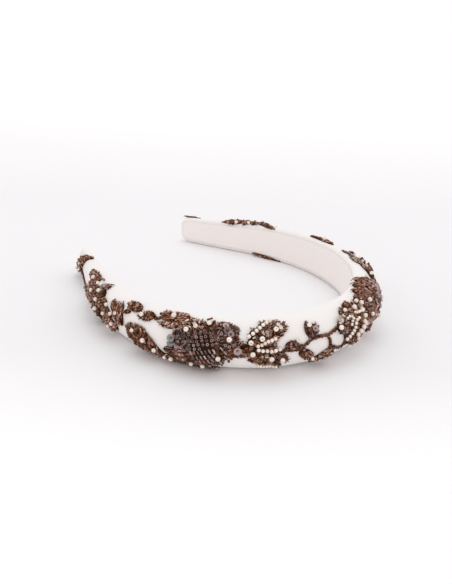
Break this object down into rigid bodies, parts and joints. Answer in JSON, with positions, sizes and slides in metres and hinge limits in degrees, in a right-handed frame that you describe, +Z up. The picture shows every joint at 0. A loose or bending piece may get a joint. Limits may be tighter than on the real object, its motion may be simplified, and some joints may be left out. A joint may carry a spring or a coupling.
{
  "type": "padded headband",
  "caption": "Padded fabric headband, horseshoe shaped, with a woven lining and raised beaded flowers, leaves and pearls on its outer face, lying on its side.",
  "frame": {"origin": "middle of the whole part's base, on the surface that it lies on", "axes": "+Z up from the surface across the band's width, +Y from the open tips towards the crown, +X towards the arm that is nearer in the picture"},
  "size_m": [0.1562, 0.1662, 0.0266],
  "materials": {
    "crown_bloom": "field of small glass seed beads",
    "crown_bloom_heart": "field of small glass seed beads",
    "crown_flower": "field of small glass seed beads",
    "crown_stem": "field of small glass seed beads",
    "edge_leaf": "field of small glass seed beads",
    "far_cluster": "field of small glass seed beads",
    "far_flower": "field of small glass seed beads",
    "far_flower_heart": "field of small glass seed beads",
    "far_leaf_1": "field of small glass seed beads",
    "far_leaf_2": "field of small glass seed beads",
    "far_leaf_3": "field of small glass seed beads",
    "far_leaf_4": "field of small glass seed beads",
    "far_leaf_5": "field of small glass seed beads",
    "far_tip_leaf": "field of small glass seed beads",
    "far_tip_stem": "field of small glass seed beads",
    "far_top_leaf": "field of small glass seed beads",
    "hem_leaf": "field of small glass seed beads",
    "large_leaf": "field of small glass seed beads",
    "lining": "plain woven ribbon",
    "low_crown_leaf": "field of small glass seed beads",
    "lower_leaf": "field of small glass seed beads",
    "main_flower": "field of small glass seed beads",
    "main_flower_heart": "field of small glass seed beads",
    "padded_band": "soft satin weave over padding",
    "pearl_01": "pearl lustre",
    "pearl_02": "pearl lustre",
    "pearl_03": "pearl lustre",
    "pearl_04": "pearl lustre",
    "pearl_05": "pearl lustre",
    "pearl_06": "pearl lustre",
    "pearl_07": "pearl lustre",
    "pearl_08": "pearl lustre",
    "pearl_09": "pearl lustre",
    "pearl_10": "pearl lustre",
    "pearl_11": "pearl lustre",
    "pearl_12": "pearl lustre",
    "pearl_13": "pearl lustre",
    "pearl_14": "pearl lustre",
    "pearl_15": "pearl lustre",
    "pearl_16": "pearl lustre",
    "pearl_17": "pearl lustre",
    "pearl_tulip": "field of small glass seed beads",
    "round_leaf": "field of small glass seed beads",
    "sequin_leaf": "field of small glass seed beads",
    "side_flower": "field of small glass seed beads",
    "side_leaf": "field of small glass seed beads",
    "slim_leaf": "field of small glass seed beads",
    "small_leaf": "field of small glass seed beads",
    "stem_leaf": "field of small glass seed beads",
    "tip_leaf": "field of small glass seed beads",
    "tip_stem": "field of small glass seed beads",
    "top_leaf": "field of small glass seed beads",
    "top_stem": "field of small glass seed beads",
    "tulip_leaf": "field of small glass seed beads",
    "twin_leaf_lower": "field of small glass seed beads",
    "twin_leaf_upper": "field of small glass seed beads",
    "upright_leaf": "field of small glass seed beads",
    "vine_branch": "field of small glass seed beads",
    "vine_far": "field of small glass seed beads",
    "vine_near": "field of small glass seed beads"
  },
  "bodies": {
    "root": {"crown_bloom": "crown_bloom", "crown_bloom_heart": "crown_bloom_heart", "crown_flower": "crown_flower", "crown_stem": "crown_stem", "edge_leaf": "edge_leaf", "far_cluster": "far_cluster", "far_flower": "far_flower", "far_flower_heart": "far_flower_heart", "far_leaf_1": "far_leaf_1", "far_leaf_2": "far_leaf_2", "far_leaf_3": "far_leaf_3", "far_leaf_4": "far_leaf_4", "far_leaf_5": "far_leaf_5", "far_tip_leaf": "far_tip_leaf", "far_tip_stem": "far_tip_stem", "far_top_leaf": "far_top_leaf", "hem_leaf": "hem_leaf", "large_leaf": "large_leaf", "lining": "lining", "low_crown_leaf": "low_crown_leaf", "lower_leaf": "lower_leaf", "main_flower": "main_flower", "main_flower_heart": "main_flower_heart", "padded_band": "padded_band", "pearl_01": "pearl_01", "pearl_02": "pearl_02", "pearl_03": "pearl_03", "pearl_04": "pearl_04", "pearl_05": "pearl_05", "pearl_06": "pearl_06", "pearl_07": "pearl_07", "pearl_08": "pearl_08", "pearl_09": "pearl_09", "pearl_10": "pearl_10", "pearl_11": "pearl_11", "pearl_12": "pearl_12", "pearl_13": "pearl_13", "pearl_14": "pearl_14", "pearl_15": "pearl_15", "pearl_16": "pearl_16", "pearl_17": "pearl_17", "pearl_tulip": "pearl_tulip", "round_leaf": "round_leaf", "sequin_leaf": "sequin_leaf", "side_flower": "side_flower", "side_leaf": "side_leaf", "slim_leaf": "slim_leaf", "small_leaf": "small_leaf", "stem_leaf": "stem_leaf", "tip_leaf": "tip_leaf", "tip_stem": "tip_stem", "top_leaf": "top_leaf", "top_stem": "top_stem", "tulip_leaf": "tulip_leaf", "twin_leaf_lower": "twin_leaf_lower", "twin_leaf_upper": "twin_leaf_upper", "upright_leaf": "upright_leaf", "vine_branch": "vine_branch", "vine_far": "vine_far", "vine_near": "vine_near"}
  },
  "joints": []
}
